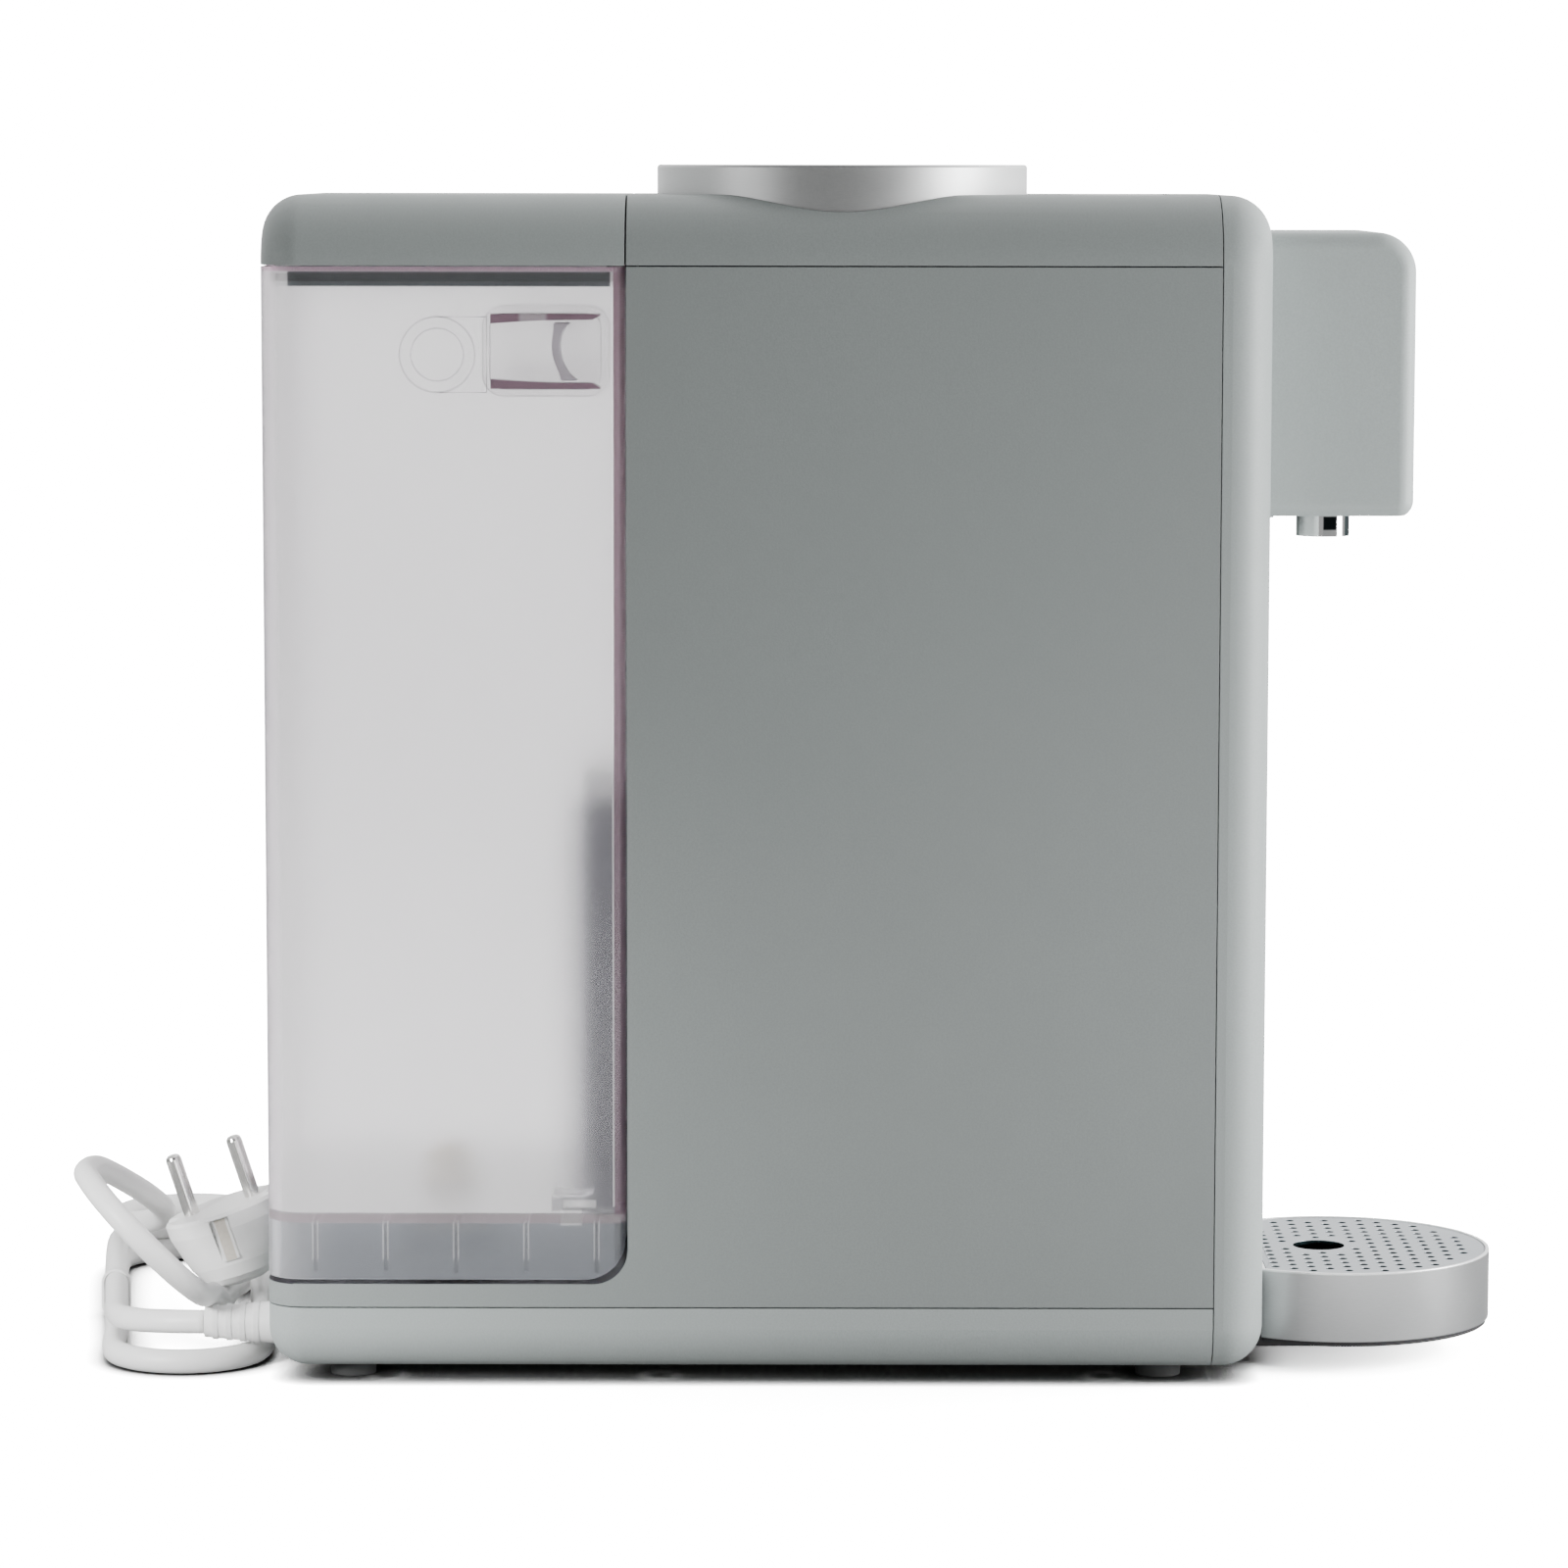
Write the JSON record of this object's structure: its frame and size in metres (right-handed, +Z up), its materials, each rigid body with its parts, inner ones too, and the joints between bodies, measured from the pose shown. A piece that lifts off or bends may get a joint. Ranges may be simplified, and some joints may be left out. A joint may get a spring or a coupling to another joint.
{
  "type": "countertop water dispenser",
  "caption": "Slim countertop water dispenser: lift-off rear tank, push-and-turn top knob, spout head over a pull-out round drip tray, mains lead with plug.",
  "frame": {"origin": "on the floor, under the middle of the object's footprint without its free cord", "axes": "+Z up, front (spout and tray) towards -Y, tank towards +Y, +X to the right seen from the front looking along +Y"},
  "size_m": [0.1977, 0.4218, 0.348],
  "materials": {
    "body_grey": "fine satin paint",
    "base_grey": "fine satin paint",
    "lid_grey": "fine satin paint",
    "head_grey": "fine satin paint",
    "head_under": "satin",
    "lens_black": "polished",
    "nozzle_chrome": "polished",
    "nozzle_dark": "matt",
    "screw_steel": "zinc plated",
    "inner_dark": "moulded",
    "seal_rubber": "matt",
    "pin_steel": "bright",
    "pump_black": "moulded",
    "motor_steel": "drawn",
    "impeller_white": "moulded",
    "cutoff_white": "matt",
    "hose_silicone": "translucent silicone",
    "board_green": "solder mask",
    "parts_dark": "moulded",
    "wire_red": "sleeved",
    "knob_metal": "satin spun",
    "shaft_steel": "turned",
    "collar_dark": "moulded",
    "foot_grey": "matt",
    "tank_clear": "frosted translucent",
    "stud_clear": "clear",
    "valve_beige": "moulded",
    "lid_seal_dark": "matt",
    "tray_steel": "satin",
    "tray_black": "matt",
    "grate_steel": "satin",
    "cord_white": "satin vinyl",
    "tie_grey": "paper-cored tie",
    "plug_white": "satin vinyl",
    "pin_chrome": "nickel plated",
    "earth_brass": "plated strip"
  },
  "bodies": {
    "chassis": {"main_housing": "body_grey", "front_panel": "body_grey", "base_cover": "base_grey", "top_cover": "body_grey", "display_lens": "lens_black", "head_shell": "head_grey", "head_plate": "head_under", "nozzle_ring": "nozzle_chrome", "nozzle_insert": "nozzle_dark", "head_screws": "screw_steel", "board_screws": "screw_steel", "bracket_screws": "screw_steel", "dock_rail": "inner_dark", "dock_socket": "inner_dark", "dock_seal": "seal_rubber", "dock_pin": "pin_steel", "inner_frame": "inner_dark", "pump_body": "pump_black", "pump_motor": "motor_steel", "heater_core": "motor_steel", "heater_caps": "pump_black", "thermal_cutoff": "cutoff_white", "hose_inlet": "hose_silicone", "hose_middle": "hose_silicone", "hose_outlet": "hose_silicone", "power_board": "board_green", "power_parts": "parts_dark", "wire_loom": "wire_red", "control_board": "board_green", "encoder_base": "parts_dark", "knob_spring": "pin_steel", "feet": "foot_grey", "base_screws": "screw_steel", "tray_bracket": "inner_dark", "tray_magnets": "pin_steel", "cord_gland": "cord_white", "cord_lead": "cord_white", "cord_hank": "cord_white", "cord_climb": "cord_white", "cord_coil": "cord_white", "cord_end": "cord_white", "cord_tie": "tie_grey", "plug_body": "plug_white", "plug_pins": "pin_chrome", "plug_earth": "earth_brass"},
    "knob_carrier": {"knob_collar": "collar_dark"},
    "knob": {"knob_shaft": "shaft_steel", "knob_cap": "knob_metal"},
    "impeller": {"pump_impeller": "impeller_white"},
    "tank": {"tank_shell": "tank_clear", "tank_stud": "stud_clear", "valve_nut": "valve_beige", "valve_spring": "pin_steel"},
    "valve": {"valve_poppet": "valve_beige"},
    "lid": {"tank_lid": "lid_grey", "lid_seal": "lid_seal_dark"},
    "tray": {"tray_bowl": "tray_steel", "tray_ring": "tray_black"},
    "grate": {"tray_grate": "grate_steel"}
  },
  "joints": [
    {"name": "knob_press", "type": "slide", "parent": "chassis", "child": "knob_carrier", "axis": [0, 0, -1], "range_m": [0, 0.0012], "stiffness_N_per_m": 900, "springref_m": -0.003, "deforming": ["knob_spring"]},
    {"name": "knob_turn", "type": "hinge", "parent": "knob_carrier", "child": "knob", "pos_m": [0, 0.01385, 0.34], "axis": [0, 0, 1], "continuous": true},
    {"name": "pump_spin", "type": "hinge", "parent": "chassis", "child": "impeller", "pos_m": [-0.027, 0.03, 0.05], "axis": [0, 0, 1], "continuous": true},
    {"name": "tank_lift", "type": "slide", "parent": "chassis", "child": "tank", "axis": [0, 0, 1], "range_m": [0, 0.2]},
    {"name": "valve_slide", "type": "slide", "parent": "tank", "child": "valve", "axis": [0, 0, -1], "range_m": [0, 0.003], "deforming": ["valve_spring"]},
    {"name": "lid_lift", "type": "slide", "parent": "tank", "child": "lid", "axis": [0, 0, 1], "range_m": [0, 0.04]},
    {"name": "tray_pull", "type": "slide", "parent": "chassis", "child": "tray", "axis": [0, -1, 0], "range_m": [0, 0.09]},
    {"name": "grate_lift", "type": "slide", "parent": "tray", "child": "grate", "axis": [0, 0, 1], "range_m": [0, 0.03]}
  ],
  "couplings": [
    {"joint": "valve_slide", "follows": "tank_lift", "ratio": 0.015}
  ]
}
